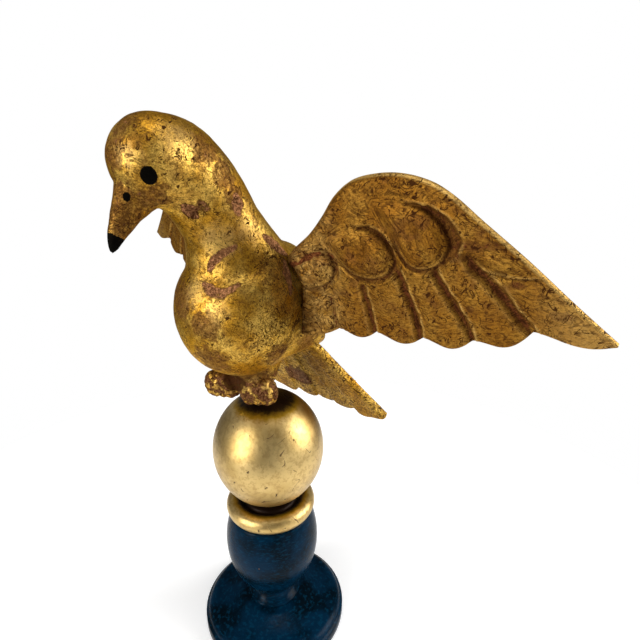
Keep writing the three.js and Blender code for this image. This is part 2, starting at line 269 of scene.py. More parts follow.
def bright_leaf():
    """Smooth leaf with hairline cracks and nicks, under a dark glaze, painted shade and painted reflection
    where the mesh's mark says so.
    """
    deep_gold = (0.48, 0.32, 0.105, 1)
    pale_gold = (0.64, 0.46, 0.185, 1)
    rubbed_gold = (0.32, 0.19, 0.06, 1)
    crack_brown = (0.045, 0.018, 0.006, 1)
    thin_glaze = (0.32, 0.18, 0.01, 1)
    thick_glaze = (0.012, 0.005, 0.002, 1)
    finish = Finish("bright_leaf")
    drift = finish.cloud(22, detail=3)
    mottle = finish.cloud(2.4, detail=6, rough=0.7)
    grain = finish.cloud(0.9, detail=4, rough=0.75)
    glaze = finish.mark("glaze")
    gold = drift.step(0.35, 0.65).blend(deep_gold, pale_gold)
    gold = (mottle.step(0.46, 0.6) * 0.45).blend(gold, rubbed_gold)
    cracks = finish.cloud(14, detail=2, rough=0.4, warp=0.6).lines(5, 0.045, 0.015)
    cracks = cracks * finish.cloud(5, detail=4).step(0.57, 0.6)
    nicks = finish.dots(7.5, finish.warped(2.0)).step(0.07, 0.04) * drift.step(0.52, 0.58)
    dark = cracks.most(nicks)
    colour = (dark * 0.9).blend(gold, crack_brown)
    # The mark darkens the leaf to amber and then near black: glaze in the cove, painted shade and a painted
    # reflection on the crown.
    glaze_shade_level = glaze + (mottle - 0.5) * 0.5
    colour = glaze_shade_level.step(0.12, 0.6).blend(colour, thin_glaze)
    colour = glaze_shade_level.step(0.46, 0.95).blend(colour, thick_glaze)
    rough = 0.25 + drift * 0.12 + mottle * 0.12 + dark * 0.3
    relief = mottle * 0.4 + grain - dark
    return finish.shine(colour, 1 - dark * 0.8 - glaze * 0.5, rough, relief, 0.00011, specular=0.15)


lowest_angle = math.pi - math.asin(cove_radius / ball_radius)
tube_middle = (collar_radius - collar_tube, collar_height)
ball_outline = [
    *arc((0, ball_height), (ball_radius, ball_half_height), 0, lowest_angle, 96),
    *arc(tube_middle, (collar_tube, collar_tube), -math.pi / 2, math.pi, 40),
    (0, collar_height - collar_tube)]
ball = turning("gilded_ball_with_collar", ball_outline[::-1], bright_leaf(), "gilded_ball_and_collar")


def soft_step(value, low, high):
    """A smooth rise from 0 at low to 1 at high; low may be the larger."""
    share = np.clip((value - low) / (high - low), 0, 1)
    return share * share * (3 - 2 * share)


def carry(mesh, **marks):
    """Gives a mesh named numbers at its points, for its finish to read. One left out counts as 0."""
    for name, values in marks.items():
        layer = mesh.attributes.new(name, "FLOAT", "POINT")
        layer.data.foreach_set("value", np.asarray(values, dtype=np.float32))


def rows_of(mesh, what):
    """Three numbers for each point of a mesh: its place, co, or its normal."""
    flat = np.empty(3 * len(mesh.vertices))
    mesh.vertices.foreach_get(what, flat)
    return flat.reshape(-1, 3)


# The crown of the ball round the feet is darkened with painted shade and a painted reflection of the dove's
# underside. The cove holds a dark glaze with painted shade on it. A knock on the ball's side has dulled it
# there.
cove_edge = -0.0295
knock_spot = (0.0035, -0.0275, ball_height - 0.0105)
ball_points = rows_of(ball.data, "co")
from_axis = np.hypot(ball_points[:, 0], ball_points[:, 1])
ball_up = ball_points[:, 2] - ball_height
on_crown = soft_step(ball_up, 0.0234, 0.0306)
on_collar = soft_step(from_axis, 0.0252, 0.0160)
in_cove = np.where(ball_up < cove_edge, on_collar, soft_step(ball_up, -0.0250, -0.0292))
knocked = soft_step(np.linalg.norm(ball_points - knock_spot, axis=1), 0.0095, 0.003)
carry(ball.data, glaze=np.maximum(np.maximum(on_crown, in_cove), 0.3 * knocked))


# The baluster is a turned wooden bulb in dark blue satin paint over a narrow neck.
# It meets the collar above and the base below in fine glued joints.
bulb_radius = 0.0264
bulb_half_height = 0.0372
bulb_height = ball_height - 0.060
bulb_neck = 0.011
neck_flare = 0.0044
base_height = 0.016
joint = 0.0003


def blue_paint(name):
    """Dark blue paint brushed round the turning, with a few small chips down to the wood."""
    night_blue = (0.0003, 0.0035, 0.007, 1)
    deep_blue = (0.0005, 0.013, 0.032, 1)
    stroke_blue = (0.001, 0.032, 0.066, 1)
    bare_wood = (0.10, 0.055, 0.03, 1)
    finish = Finish(name)
    drift = finish.cloud(18, detail=4)
    strokes = finish.cloud(2.2, detail=4, place=finish.stretched((1, 1, 3.2)))
    colour = drift.step(0.38, 0.62).blend(night_blue, deep_blue)
    colour = (strokes.step(0.5, 0.66) * 0.5).blend(colour, stroke_blue)
    chips = finish.dots(11).step(0.06, 0.035) * drift.step(0.55, 0.6)
    colour = chips.blend(colour, bare_wood)
    rough = 0.14 + strokes * 0.16 + chips * 0.3
    return finish.shine(colour, 0.0, rough, strokes * 0.8 - chips, 0.00012, specular=0.04)


bulb_top = collar_height - collar_tube - joint
seat = base_height + joint
first_angle = math.acos((bulb_top - bulb_height) / bulb_half_height)
last_angle = math.pi - math.asin(bulb_neck / bulb_radius)
bulb_outline = [
    (0, bulb_top), *arc((0, bulb_height), (bulb_radius, bulb_half_height), first_angle, last_angle, 64)]
neck_height = bulb_outline[-1][1]
for step in range(1, 17):
    share = step / 16
    bulb_outline.append((bulb_neck + neck_flare * share ** 3, neck_height + (seat - neck_height) * share))
bulb_outline.append((0, seat))
baluster = turning("blue_bulb", bulb_outline[::-1], blue_paint("blue_paint"), "blue_baluster")


# The base is a low turned foot with a rounded shoulder, painted like the baluster and plainer.
# It rests on its flat underside.
base_radius = 0.042
rim_height = 0.007
rim_ledge = 0.0015
shoulder_width = 0.007
shoulder_rise = 0.0045
slope_width = 0.0145
# The rim's edges are slightly rounded. Over it come the shoulder and a hollow slope up to the seat.
base_outline = [
    (0, 0), (base_radius - 0.0008, 0), (base_radius - 0.0002, 0.0003), (base_radius, 0.0009),
    (base_radius, 0.0062), (base_radius - 0.0003, 0.0067)]
shoulder_middle = base_radius - rim_ledge - shoulder_width
base_outline += arc((shoulder_middle, rim_height), (shoulder_width, shoulder_rise), math.pi / 2, 0, 24)
slope_height = rim_height + shoulder_rise
for step in range(1, 17):
    share = step / 16
    base_outline.append((
        shoulder_middle - slope_width * share, slope_height + (base_height - slope_height) * share ** 1.4))
base_outline.append((0, base_height))
foot = turning("turned_foot", base_outline, blue_paint("blue_paint_foot"), "round_base")


# The dove is carved from one block: body, neck, head, beak, tail and feet, primed and gilded.
# The leaf is old, rubbed through to red-brown bole, with eyes, nostrils and beak tip in black paint.
breast = (0.010, 0.0825)
body_slope = math.radians(31)
head_centre = (0.048, 0.1496)
head_radius = 0.0175
tail_root = (-0.0204, 0.0579)
tail_fall = math.radians(59.3)
tail_twist = math.radians(5)
tail_spread = math.radians(10.4)
tail_feathers = 5
tail_apex = 0.037
tail_length = 0.060
tail_thickness = 0.0044
tail_step = 0.0009
tail_hollow = 0.005


def heading(forward, left, up):
    """A direction given from the dove: forward, to its left, and up."""
    return Vector((left, -forward, up))


def place(forward, left, up):
    """A place given from the dove, with its height above the ball's centre."""
    return heading(forward, left, ball_height + up)


def bend(knots, t):
    """A smooth curve through rows of numbers, paced by the root of the distance between them."""
    last = len(knots) - 1
    number = min(int(t * last), last - 1)
    part = t * last - number
    start, end = knots[number], knots[number + 1]
    before = knots[number - 1] if number > 0 else 2 * start - end
    beyond = knots[number + 2] if number + 2 <= last else 2 * end - start
    pace_in, pace, pace_out = [
        max(np.linalg.norm(far - near) ** 0.5, 1e-6)
        for near, far in ((before, start), (start, end), (end, beyond))]
    rise_in = pace * (
        (start - before) / pace_in - (end - before) / (pace_in + pace) + (end - start) / pace)
    rise_out = pace * (
        (end - start) / pace - (beyond - start) / (pace + pace_out) + (beyond - end) / pace_out)
    return (start + rise_in * part + (3 * (end - start) - 2 * rise_in - rise_out) * part ** 2
            + (2 * (start - end) + rise_in + rise_out) * part ** 3)


def limb(stations, ring_count, sides):
    """Rings round a spine in the middle plane. A station is forward, up, half height, half width."""
    spine = [np.array(place(forward, 0, up)) for forward, up, _, _ in stations]
    sizes = [np.array(station[2:]) for station in stations]
    nudge = 1e-4
    rings = []
    for ring in range(ring_count + 1):
        t = ring / ring_count
        centre = bend(spine, t)
        along = bend(spine, min(t + nudge, 1)) - bend(spine, max(t - nudge, 0))
        over = np.cross(along / np.linalg.norm(along), (1, 0, 0))
        high, wide = bend(sizes, t)
        rings.append([centre + np.array((1, 0, 0)) * wide * math.cos(2 * math.pi * side / sides)
                      + over * high * math.sin(2 * math.pi * side / sides) for side in range(sides)])
    return rings


def skin(shape, rings):
    """Adds a closed skin over rings of equal point counts to a mesh being built."""
    rows = [[shape.verts.new(point) for point in ring] for ring in rings]
    for near, far in zip(rows, rows[1:]):
        for side in range(len(near)):
            after = (side + 1) % len(near)
            shape.faces.new((near[side], near[after], far[after], far[side]))
    shape.faces.new(rows[0][::-1])
    shape.faces.new(rows[-1])


def egg(shape, centre, radii, turn=0.0):
    """Adds an egg round a centre, tipped about the left-right axis."""
    ring_count = 24
    sides = 32
    rings = []
    for ring in range(1, ring_count):
        rise = math.pi * ring / ring_count
        points = []
        for side in range(sides):
            angle = 2 * math.pi * side / sides
            across = radii[0] * math.sin(rise) * math.cos(angle)
            deep = radii[1] * math.sin(rise) * math.sin(angle)
            high = -radii[2] * math.cos(rise)
            points.append(centre + Vector((
                across, deep * math.cos(turn) - high * math.sin(turn),
                deep * math.sin(turn) + high * math.cos(turn))))
        rings.append(points)
    skin(shape, rings)


def remeshed(shape, voxel, passes):
    """The shapes as one closed skin with rounded creases: the smoothing stands in for rasp and gesso."""
    mesh = bpy.data.meshes.new("carving")
    shape.to_mesh(mesh)
    shape.free()
    thing = bpy.data.objects.new("carving", mesh)
    bpy.context.scene.collection.objects.link(thing)
    grid = thing.modifiers.new("grid", "REMESH")
    grid.mode = "VOXEL"
    grid.voxel_size = voxel
    smooth = thing.modifiers.new("smooth", "SMOOTH")
    smooth.factor = 0.5
    smooth.iterations = passes
    done = bpy.data.meshes.new_from_object(thing.evaluated_get(bpy.context.evaluated_depsgraph_get()))
    bpy.data.objects.remove(thing)
    return done


# The trunk is smoothed most, so that neck, breast, shoulders and belly flow into one another. A row of
# the body is a distance from the breast, a lift off its axis, half height and half width, in millimetres.
body_profile = [
    (-51, 0, 1, 6), (-48, 0, 5, 13), (-41, 0.5, 10, 17), (-32, 1.5, 18, 21), (-20, 2.5, 26.5, 24.5),
    (-9, 2, 32, 27), (1, 0, 33.3, 29.5), (12, 0, 31.5, 29.5), (20, 0, 27, 26), (27, 0, 19.5, 19.5),
    (31.5, 0, 11, 11), (33.2, 0, 5, 5), (33.6, 0, 0.6, 0.6)]
run, climb = math.cos(body_slope), math.sin(body_slope)
body_stations = []
for along, lift, high, wide in body_profile:
    body_stations.append((
        breast[0] + 0.001 * (along * run - lift * climb),
        breast[1] + 0.001 * (along * climb + lift * run), 0.001 * high, 0.001 * wide))
head_width = 0.96
neck_stations = [
    (0.010, 0.082, 0.029, 0.0265), (0.0115, 0.095, 0.0286, 0.026), (0.0152, 0.1086, 0.0228, 0.021),
    (0.0216, 0.1249, 0.0172, 0.016), (0.0316, 0.1404, 0.0172, 0.0158), (0.0404, 0.1476, 0.0177, 0.0164),
    (*head_centre, head_radius, head_width * head_radius)]
head_slope = math.radians(22)
for ahead in (0.007, 0.0125, 0.016, 0.0173):
    size = math.sqrt(head_radius ** 2 - ahead ** 2)
    neck_stations.append((
        head_centre[0] + ahead * math.cos(head_slope), head_centre[1] + ahead * math.sin(head_slope),
        size, head_width * size))
shoulders = place(-0.008, 0, 0.0945)
low_belly = place(0.005, -0.001, 0.052)
trunk = bmesh.new()
skin(trunk, limb(body_stations, 60, 64))
skin(trunk, limb(neck_stations, 80, 64))
egg(trunk, shoulders, (0.027, 0.016, 0.018))
egg(trunk, low_belly, (0.012, 0.013, 0.019), -0.3)
trunk_mesh = remeshed(trunk, 0.0012, 26)

beak_stations = [
    (0.050, 0.146, 0.014, 0.011), (0.0545, 0.1405, 0.011, 0.0086), (0.0585, 0.1353, 0.0078, 0.0062),
    (0.0616, 0.131, 0.0059, 0.0048), (0.0644, 0.1266, 0.0045, 0.0039), (0.0668, 0.1224, 0.0031, 0.0028),
    (0.0684, 0.1188, 0.0017, 0.0017), (0.069, 0.1172, 0.0004, 0.0004)]
carving = bmesh.new()
carving.from_mesh(trunk_mesh)
skin(carving, limb(beak_stations, 40, 32))
# Three round toes on each foot curl over the ball.
toes = [(0.0085, 0.0115, 0.041), (0.0106, 0.0073, 0.0402), (0.0125, 0.003, 0.0396),
        (0.0173, -0.007, 0.0414), (0.0194, -0.0102, 0.0414), (0.0215, -0.0134, 0.0414)]
for toe in toes:
    egg(carving, place(*toe), (0.0048, 0.0056, 0.0078), 0.3)

# The tail's feathers fan out from one centre, the middle one on top, with slanting round ends.
across = Vector((1, 0, 0))
down_tail = Vector((0, math.cos(tail_fall), -math.sin(tail_fall)))
over_tail = across.cross(down_tail)
tail_start = place(tail_root[0], 0, tail_root[1])
twisted_across = across * math.cos(tail_twist) + over_tail * math.sin(tail_twist)
twisted_over = over_tail * math.cos(tail_twist) - across * math.sin(tail_twist)
outermost = (tail_feathers - 1) / 2
feather_half = 0.56 * tail_spread
buried_end = tail_apex - 0.006
for number in range(tail_feathers):
    side = number - outermost
    short = tail_hollow * (1 - (side / outermost) ** 2)
    rings = []
    for step in range(25):
        share = -1 + 2 * step / 24
        angle = side * tail_spread + share * feather_half
        outwards = np.sign(side) * share
        pointed = abs(side) == outermost and outwards > 0
        slant = 0.0016 if pointed else -0.0012
        rounding = 0.0014 if pointed else 0.0036
        reach = tail_apex + tail_length - short - rounding * abs(share) ** 2.6 + slant * outwards
        ring = []
        for radius, lift in ((buried_end, 0), (buried_end, 1), (reach - 0.001, 1), (reach, 0.5),
                             (reach - 0.001, 0)):
            height = tail_thickness * (lift - 0.5) - tail_step * abs(side)
            ring.append(tail_start + twisted_across * (radius * math.sin(angle))
                        + down_tail * (radius * math.cos(angle) - tail_apex) + twisted_over * height)
        rings.append(ring[::-1])
    skin(carving, rings)
dove_mesh = remeshed(carving, 0.0007, 5)

count = len(dove_mesh.vertices)
points = rows_of(dove_mesh, "co")
normals = rows_of(dove_mesh, "normal")


def lumps(points, size, octaves=3):
    """Even noise of a size in metres, between about -1 and 1, at every point."""
    return np.array([fractal(Vector(p) / size, 0.6, 2.0, octaves) for p in points])


# The gesso is slightly lumpy, and most of all on the toes, which lie close on the ball.
feet_top = ball_height + 0.052
near_feet = np.clip((feet_top - points[:, 2]) / 0.006, 0, 1) * (points[:, 1] < 0.006)
depth = 0.00016 * lumps(points, 0.009) + 0.0005 * near_feet * lumps(points, 0.0028, 2)
points = points + normals * depth[:, None]
ball_middle = (0, 0, ball_height)
from_ball = np.hypot(np.hypot(points[:, 0], points[:, 1]) / (ball_radius + joint),
                     (points[:, 2] - ball_height) / (ball_half_height + joint))
on_ball = (points - ball_middle) / np.maximum(from_ball, 0.5)[:, None] + ball_middle
points = np.where(from_ball[:, None] < 1, on_ball, points)
dove_mesh.vertices.foreach_set("co", points.ravel())
dove_mesh.update()


def old_gilding(name, leaf, leaf_light, dull, bole, dullness, least_rough, metal, flecks, brushing):
    """Rubbed leaf over bole. The mesh's marks say where it is worn, where dirt and painted shade darken it,
    where burnish and painted highlight pale it, and where it is painted and matte.
    """
    thin_leaf = (0.16, 0.065, 0.010, 1)
    brush_brown = (0.10, 0.038, 0.006, 1)
    burnish_and_highlight_gold = (0.76, 0.48, 0.14, 1)
    dark_bole = [0.4 * part for part in bole[:3]] + [1]
    dirt_and_shade_brown = (0.036, 0.011, 0.003, 1)
    eye_black = (0.001, 0.001, 0.001, 1)
    golden_edge = (1, 0.72, 0.36, 1)
    finish = Finish(name)
    fleck = finish.cloud(1.7, detail=6, rough=0.72)
    drift = finish.cloud(13)
    smudge = finish.cloud(9, detail=5, rough=0.6, warp=0.6)
    mottle = finish.cloud(2.4, detail=6, rough=0.72)
    fine = finish.cloud(0.9, detail=5, rough=0.8)
    worn = finish.mark("worn")
    grime = finish.mark("grime")
    crest = finish.mark("crest")
    paint = finish.mark("paint").step(0.45, 0.55)
    # The hairs of a brush left curling lines in the gesso, and dirt has settled in them.
    grain = finish.make("ShaderNodeAttribute", {"attribute_name": "grain"}, out=1)
    hairs = finish.cloud(4.4, detail=2, place=grain, warp=0.7).lines(7, 0.2, 0.06)
    hairs = hairs * (finish.cloud(3.2, detail=3) + grime * 1.5).step(0.54, 0.66)
    cracks = finish.cloud(7, detail=2, rough=0.4, place=finish.warped(1.5), warp=1.5).lines(6, 0.13, 0.06)
    cracks = cracks * (finish.cloud(3.7, detail=4) + grime * 1.5).step(0.62, 0.66)
    brushed = finish.cloud(0.6, detail=4, rough=0.75, place=grain, warp=0.5)
    gold = drift.step(0.36, 0.64).blend(leaf, leaf_light)
    faded = (worn + (mottle - 0.5) * 0.5).step(0.16, 0.4) * 0.7
    gold = (smudge.step(0.5, 0.68) * dullness).most(faded).blend(gold, dull)
    gold = ((mottle + worn * 0.3).step(0.5, 0.66) * 0.5).blend(gold, thin_leaf)
    gold = (brushed.step(0.48, 0.58) * brushing).blend(gold, brush_brown)
    # Burnish and painted highlights make the leaf pale.
    gold = (crest * (0.4 + mottle)).blend(gold, burnish_and_highlight_gold)
    specks = fine.step(0.54, 0.6) * (mottle + worn * 0.2).step(0.44, 0.56)
    pits = finish.dots(3.4).step(0.15, 0.09) * smudge.step(0.5, 0.58)
    bare = (worn + (mottle - 0.5) * 0.9 + (fine - 0.5) * 0.6).step(0.46, 0.56)
    chips = (fleck + worn * 0.15 + grime * 0.2).step(0.6, 0.63)
    # Dirt and painted shade darken the leaf towards dark brown.
    dirt_and_shade = (specks * 0.8).most(hairs * 0.6).most(cracks * 0.95).most(pits * 0.9).most(chips * flecks)
    dirt_and_shade = dirt_and_shade.most((grime + (mottle - 0.5) * 1.1 + (fine - 0.5) * 0.6).step(0.35, 0.7) * 0.95)
    colour = bare.blend(gold, fine.step(0.4, 0.6).blend(bole, dark_bole))
    colour = dirt_and_shade.blend(colour, dirt_and_shade_brown)
    colour = paint.blend(colour, eye_black)
    metal_left = (1 - bare * 0.7) * (1 - dirt_and_shade * 0.7) * (1 - faded * 0.45) * (1 - paint) * metal
    metal_left = metal_left * (1 - finish.mark("matte"))
    rough = least_rough + mottle * 0.2 + smudge * 0.12 + bare * 0.1 + dirt_and_shade * 0.1
    rough = rough + faded * 0.15 + paint * 0.1
    relief = mottle * 0.8 + fine * 0.6 + brushed * 0.4 - bare * 0.25 - hairs * 0.3 - cracks * 0.5 - pits
    return finish.shine(colour, metal_left, rough, relief, 0.0002, specular=0.03, edge_tint=golden_edge)


def carry_grain(mesh, grain):
    """Gives a mesh the way its brush marks run: places in millimetres, drawn out along the stroke."""
    layer = mesh.attributes.new("grain", "FLOAT_VECTOR", "POINT")
    layer.data.foreach_set("vector", np.asarray(grain, dtype=np.float32).ravel())


def in_dove(forward, left, up):
    """A place on the dove from its middle in millimetres, with its height above the ball's centre."""
    return np.array(place(0.001 * forward, 0.001 * left, 0.001 * up))


def by_line(points, line):
    """Each point's distance from a line of straight parts, and its share of the way along it.

    The distance from a flat line is negative to the line's right."""
    best = np.full(len(points), 1e9)
    side = np.ones(len(points))
    along = np.zeros(len(points))
    for number, (start, end) in enumerate(zip(line, line[1:])):
        way = end - start
        share = np.clip(((points - start) @ way) / (way @ way), 0, 1)
        away = points - start - share[:, None] * way
        far = np.linalg.norm(away, axis=1)
        nearer = far < best
        best = np.where(nearer, far, best)
        along = np.where(nearer, (number + share) / (len(line) - 1), along)
        if points.shape[1] == 2:
            side = np.where(nearer, np.sign(way[0] * away[:, 1] - way[1] * away[:, 0]), side)
    return best * side, along


def patches(spots, core, ragged):
    """The strongest of round patches at each point. A spot is a place, a radius and a strength.

    Places and radii are in millimetres. The core is the share of the radius that is at full strength,
    and jitter makes the edge ragged."""
    best = np.zeros(count)
    for spot, radius, strength in spots:
        away = np.linalg.norm(points - in_dove(*spot), axis=1) + ragged * jitter
        best = np.maximum(best, strength * soft_step(away, 0.001 * radius, 0.001 * core * radius))
    return best


# Bole shows where a rasp or a knock took the leaf: each stroke's places, half width and strength.
rubbed_strokes = [
    ([(34.2, 9.2, 106), (32.8, 10.5, 109.7), (30.4, 13.1, 113.1), (25.5, 16.2, 115.7)], 1.5, 0.85),
    ([(36.9, 8.5, 101), (35.9, 12, 98.6), (34, 17, 97.4), (30.5, 19.5, 99.4)], 2.2, 0.62),
    ([(33.5, 18, 97.4), (27.4, 20.9, 101.4)], 1.3, 0.58),
    ([(22.8, 15.5, 135.5), (22.3, 15.5, 129)], 2.9, 0.7),
    ([(10.5, 17.4, 118), (-0.5, 17.3, 109)], 2.6, 0.66),
    ([(43, 9.5, 133.6), (39, 10.3, 129)], 2.6, 0.66),
    ([(38.5, 12.6, 134), (35.5, 13.8, 131.3)], 1.6, 0.56),
    ([(3, 21, 107), (5.4, 26.7, 94)], 2.2, 0.6)]
# The leaf is thin and grey-brown in wider patches: a place and a radius for each.
faded_patches = [
    ((64.4, 2.8, 153), 9), ((64.2, 2.9, 138), 8), ((55, 9, 136.5), 9), ((35.1, 14.7, 153), 9),
    ((27, 14.8, 144), 9), ((24, 15, 136), 7), ((41.7, -2.8, 92.4), 11), ((40.3, 12.8, 84), 10),
    ((36.9, 10.8, 66), 13), ((13.3, 8.7, 49), 13), ((12, 26, 66), 10), ((60, 3, 162), 7),
    ((54, -10, 150), 9), ((30, -14, 125), 10), ((40, -12, 95), 9), ((2, -24, 90), 11), ((-20, 0, 88), 12),
    ((-10, 18, 70), 14)]
# Pale patches on the crown, the forehead, the neck and the breast are painted highlights.
painted_highlight_patches = [
    ((62.5, 8.6, 152), 5, 0.5), ((46, 14, 157), 10, 0.45), ((31, 14, 118), 11, 0.45), ((39, 6, 97), 9, 0.45),
    ((18, 17, 122), 9, 0.45), ((37, 17, 92), 8, 0.3), ((46, -14, 157), 9, 0.4), ((33, -14, 118), 8, 0.3)]
# Dirt has settled in the beak's pores, on the belly and on the shoulders. Between and under the feet and
# under the jaw, the darkening is painted shade.
dirt_and_shade_patches = [
    ((18, -1, 46), 9, 1.4), ((64, 0, 129), 9, 0.3), ((14, 27, 78), 20, 0.24), ((8, 22, 104), 16, 0.3),
    ((-4, -22, 100), 20, 0.24), ((0, 0, 36), 12, 0.6), ((39, 10, 131.5), 5, 0.5)]
jitter = 0.0011 * lumps(points, 0.003, 2)
above_ball = points[:, 2] - ball_height
on_tail = soft_step(above_ball, 0.066, 0.056) * soft_step(points[:, 1], 0.016, 0.024)
underneath = soft_step(above_ball, 0.062, 0.054) * (1 - near_feet)
# The toes keep flakes of bright leaf on their tops, over glossy bole.
flakes = near_feet * soft_step(jitter, 0.0, 0.0003)
from_beak, _ = by_line(points, [in_dove(60, 0, 134), in_dove(67, 0, 122)])
worn = np.maximum(0.1, 0.62 * (near_feet - flakes))
worn = np.maximum(worn, 0.37 * soft_step(from_beak, 0.0085, 0.005))
worn = np.maximum(worn, patches([(spot, radius, 0.4) for spot, radius in faded_patches], 0.5, 3))
# One patch of the tail is bare, on its underside and its top.
worn = np.maximum(worn, patches([((-34, -12, 26.5), 12, 0.56)], 7 / 12, 2))
for line, half, strength in rubbed_strokes:
    away, along = by_line(points, [in_dove(*spot) for spot in line])
    taper = 0.001 * half * (0.5 + 0.6 * np.sin(np.pi * along)) + 0.6 * jitter
    worn = np.maximum(worn, strength * soft_step(away, taper + 0.0008, taper - 0.0003))
# The toe flakes are burnished bright, and the pale patches are painted highlight.
crest = np.maximum(0.4 * flakes, patches(painted_highlight_patches, 0.3, 2))
# Dirt and painted shade darken the feet under the belly, and the tail is darker too.
grime = np.maximum(
    0.06 + 0.5 * (near_feet - flakes) + 0.14 * on_tail, patches(dirt_and_shade_patches, 0.3, 0))
# The leaf has gone matte under the tail and on the belly's underside.
matte = np.maximum(0.5 * on_tail, 0.2 * underneath)

# Eyes, nostrils and the beak's tip are black paint, put on by hand with slightly uneven edges.
paint_edge = 0.0003
eye = in_dove(57.5, 13.1, 144.7)
nostril = in_dove(62.6, 4.6, 137.4)
beak_end = in_dove(66.2, 0, 123.1)
beak_way = in_dove(68.4, 0, 118.8) - beak_end
beak_way = beak_way / np.linalg.norm(beak_way)
paint = np.zeros(count)
for spot, radius in ((eye, 0.0029), (nostril, 0.0014)):
    for mirror in (1, -1):
        away = np.linalg.norm((points * (mirror, 1, 1) - spot) * (1, 1, 0.82), axis=1) + 0.1 * jitter
        paint = np.maximum(paint, soft_step(away, radius + paint_edge, radius - paint_edge))
near_beak = soft_step(np.linalg.norm(points - in_dove(68, 0, 120), axis=1), 0.012, 0.010)
past_end = (points - beak_end) @ beak_way + 0.5 * jitter
paint = np.maximum(paint, soft_step(past_end, -0.0004, 0.0004) * near_beak)
carry(dove_mesh, worn=worn, grime=grime, crest=crest, paint=paint, matte=matte)
carry_grain(dove_mesh, 1000 * points * (0.8, 0.8, 1.1))
aged_gilding = old_gilding(
    "aged_gilding", leaf=(0.52, 0.26, 0.022, 1), leaf_light=(0.74, 0.46, 0.09, 1),
    dull=(0.17, 0.072, 0.024, 1), bole=(0.50, 0.22, 0.09, 1), dullness=0.5, least_rough=0.2, metal=0.92,
    flecks=0.6, brushing=0.55)
dove = dressed("carved_dove", dove_mesh, aged_gilding, "dove")


# Each wing is a thin board, carved on its front with coverts and flight feathers and glued to the
# shoulder. The gouge cuts hold red bole and are darkened, and the leaf over the rest is duller than the
# body's.
wing_sweep = math.radians(10)
wing_lean = math.radians(5)
# These are in millimetres: how far the carved face stands ahead of the stem's axis, the board's two
# ends outwards from it, and its thickness there.
wing_offset = -4.6
wing_root = 14
wing_span = 148.7
wing_root_thickness = 8
wing_tip_thickness = 2.8
wing_along = heading(-math.sin(wing_sweep), math.cos(wing_sweep), 0)
wing_front = heading(math.cos(wing_sweep) * math.cos(wing_lean), math.sin(wing_sweep) * math.cos(wing_lean),
                     -math.sin(wing_lean))
wing_up = wing_front.cross(wing_along)

# The outline is outwards from the stem's axis and above the ball's centre, in millimetres.
leading_edge = [
    (wing_root, 103), (22, 111.8), (31, 119.4), (37.9, 127.3), (44.5, 136.1), (52.5, 142.2), (63, 145),
    (74.1, 145.4), (85.5, 142.8), (93.5, 138.5), (103.2, 131.3), (119.6, 119.4), (135, 107.3),
    (wing_span, 97)]
# Each feather line has a start on the leading edge, an end in a notch, and a hang of the round end.
feather_lines = [
    (wing_root, (wing_root, 69.5), 0), (38, (45.4, 78.8), 2.4), (50, (63.7, 81.3), 3),
    (60, (84.4, 83.5), 3.4), (66, (103.7, 87), 3.6), (77, (124, 95.4), 4.4),
    (wing_span, (wing_span, 96), 2.2)]
# Gouge cuts between feathers, from the coverts down to the notches, and their depth and half width.
gouge_cuts = [
    ([(41.6, 95), (44.6, 79.6)], 0.8, 0.9),
    ([(57.1, 103), (58.6, 98), (60.6, 91.8), (62.4, 84.5), (63.2, 80)], 1.1, 1.1),
    ([(71.5, 111.5), (74, 107.6), (76.5, 102.3), (79.2, 96.4), (81.9, 90.5), (83.4, 82)], 1.4, 1.3),
    ([(86.6, 113.5), (90.4, 107.5), (96.1, 100), (102.2, 90.9), (103.9, 86)], 1.5, 1.3),
    ([(97.6, 120.5), (101.6, 115.9), (105.1, 112.6), (112.5, 106.2), (116.9, 101.4), (124, 94.6)], 2.0, 1.5)]
# Each covert's outline, how high it swells, the outer lip of the hollow beside it and its depth.
coverts = [
    ([(21.5, 106.8), (29.1, 110.6), (37.2, 111.8), (41.8, 110.4), (43.6, 106.6), (42.6, 101.8),
      (38.2, 97.9), (28, 96.3)], 1.5,
     [(36, 114.6), (41, 114.2), (44.3, 112.7), (47, 108.5), (47.4, 104.6), (44.3, 100)], 1.2),
    ([(40.3, 118), (48.3, 123), (56.2, 124), (61.4, 123.6), (66.4, 120.9), (69.9, 116.8), (71.7, 113),
      (70.4, 109), (66.4, 106), (60.6, 104.4), (54.7, 105.2), (49.5, 108.2)], 1.8,
     [(52, 124.6), (57.3, 125.4), (62.4, 125.6), (67.4, 123.3), (70.8, 119.6), (73.3, 113.2)], 1.5),
    ([(63, 134.5), (70.2, 135.4), (76.6, 134.8), (82, 133.5), (86.5, 131), (90.1, 127.7), (92.2, 123.3),
      (92.4, 119.2), (90.7, 115.6), (86.9, 112.6), (81.9, 111.5), (77.7, 112.9), (74.5, 116.5), (71, 122)],
     1.9,
     [(72, 136), (77.1, 136), (82.8, 135.6), (88, 134.2), (92.3, 131.8), (95.6, 128.2), (97.8, 123.9),
      (97.2, 120.3), (94.8, 117), (91.5, 114.6)], 2.0)]
# A small leaf-shaped covert lies near the tip, and the last feather is stepped down below it.
leaf_covert = [(98.5, 121.6), (103, 121.8), (107.5, 120.9), (112.1, 119.7), (115.6, 117),
               (114.5, 114.6), (108, 114.6)]
step_line = [(103.5, 116), (105.7, 114.3), (110.5, 113.8), (115.8, 113.4), (120.1, 113.7), (126, 114.8)]
# The joint with the shoulder shows as a ragged red seam.
seams = [[(15.5, 102.5), (21.4, 105), (27, 106.7), (32.7, 110.5), (37, 112.4)],
         [(15.3, 101.7), (16.1, 98.1), (16.8, 93.8), (18.7, 89.8)]]
